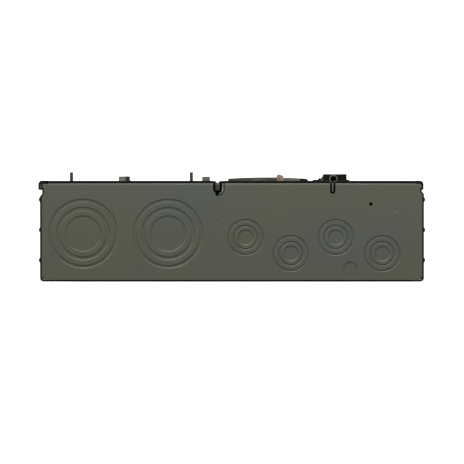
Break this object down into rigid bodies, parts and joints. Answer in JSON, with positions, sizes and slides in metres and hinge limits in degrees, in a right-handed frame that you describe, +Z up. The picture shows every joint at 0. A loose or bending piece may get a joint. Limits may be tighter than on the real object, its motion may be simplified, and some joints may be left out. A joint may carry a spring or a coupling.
{
  "type": "residential load center",
  "caption": "Steel wall box with knockouts, bus interior, neutral bars and a two-pole back-fed main breaker, shown with its cover off.",
  "frame": {"origin": "centre of the box's flat back face", "axes": "+Z up the wall along the box's height, -Y out into the room, +X to the right as seen from the room"},
  "size_m": [0.366, 0.1059, 0.456],
  "materials": {
    "olive_paint": "satin",
    "galvanised_steel": "satin",
    "zinc_plate": "satin",
    "insulator_moulding": "matte",
    "tin_plate": "satin",
    "green_screw": "satin",
    "lug_cover_moulding": "satin",
    "post_steel": "satin",
    "bracket_plate": "satin",
    "breaker_moulding": "matte",
    "handle_moulding": "satin",
    "copper": "satin"
  },
  "bodies": {
    "enclosure": {"box_wrap": "olive_paint", "top_end_wall": "olive_paint", "bottom_end_wall": "olive_paint", "corner_rivets": "olive_paint", "notch_cups": "lug_cover_moulding", "interior_pan": "galvanised_steel", "pan_screws": "zinc_plate", "breaker_rail_left": "galvanised_steel", "breaker_rail_right": "galvanised_steel", "bus_insulator": "insulator_moulding", "bus_bar_a": "tin_plate", "bus_bar_b": "tin_plate", "bus_screws": "zinc_plate", "neutral_support_left": "insulator_moulding", "neutral_support_right": "insulator_moulding", "neutral_bar_left": "tin_plate", "neutral_bar_right": "tin_plate", "neutral_screws_left": "zinc_plate", "neutral_screws_right": "zinc_plate", "neutral_end_lug": "tin_plate", "end_lug_screw": "zinc_plate", "neutral_cross_strap": "tin_plate", "strap_insulator": "insulator_moulding", "strap_bolts": "zinc_plate", "bonding_screw": "green_screw", "neutral_lug": "tin_plate", "neutral_lug_screw": "zinc_plate", "neutral_lug_cover": "lug_cover_moulding", "cover_posts": "post_steel", "main_hold_down": "bracket_plate", "hold_down_screw": "zinc_plate", "pole_a_base": "breaker_moulding", "pole_a_cover": "breaker_moulding", "pole_b_base": "breaker_moulding", "pole_b_cover": "breaker_moulding", "case_rivets": "zinc_plate", "pole_a_line_jaw": "copper", "pole_b_line_jaw": "copper", "pole_a_arc_chute": "zinc_plate", "pole_b_arc_chute": "zinc_plate", "pole_a_bimetal": "copper", "pole_b_bimetal": "copper", "pole_a_lug": "tin_plate", "pole_b_lug": "tin_plate", "lug_screws": "zinc_plate", "arm_springs": "zinc_plate"},
    "handles": {"pole_a_handle": "handle_moulding", "pole_b_handle": "handle_moulding", "handle_tie": "handle_moulding"},
    "contact_arms": {"pole_a_contact_arm": "copper", "pole_b_contact_arm": "copper"}
  },
  "joints": [
    {"name": "handle_throw", "type": "hinge", "parent": "enclosure", "child": "handles", "pos_m": [-0.0421, -0.0867, 0.0946], "axis": [0, 0, 1], "range_deg": [0, 38]},
    {"name": "contact_arm_swing", "type": "hinge", "parent": "enclosure", "child": "contact_arms", "pos_m": [-0.0401, -0.0707, 0.0946], "axis": [0, 0, 1], "range_deg": [0, 15.3]}
  ],
  "couplings": [
    {"joint": "contact_arm_swing", "follows": "handle_throw", "ratio": 0.4}
  ]
}
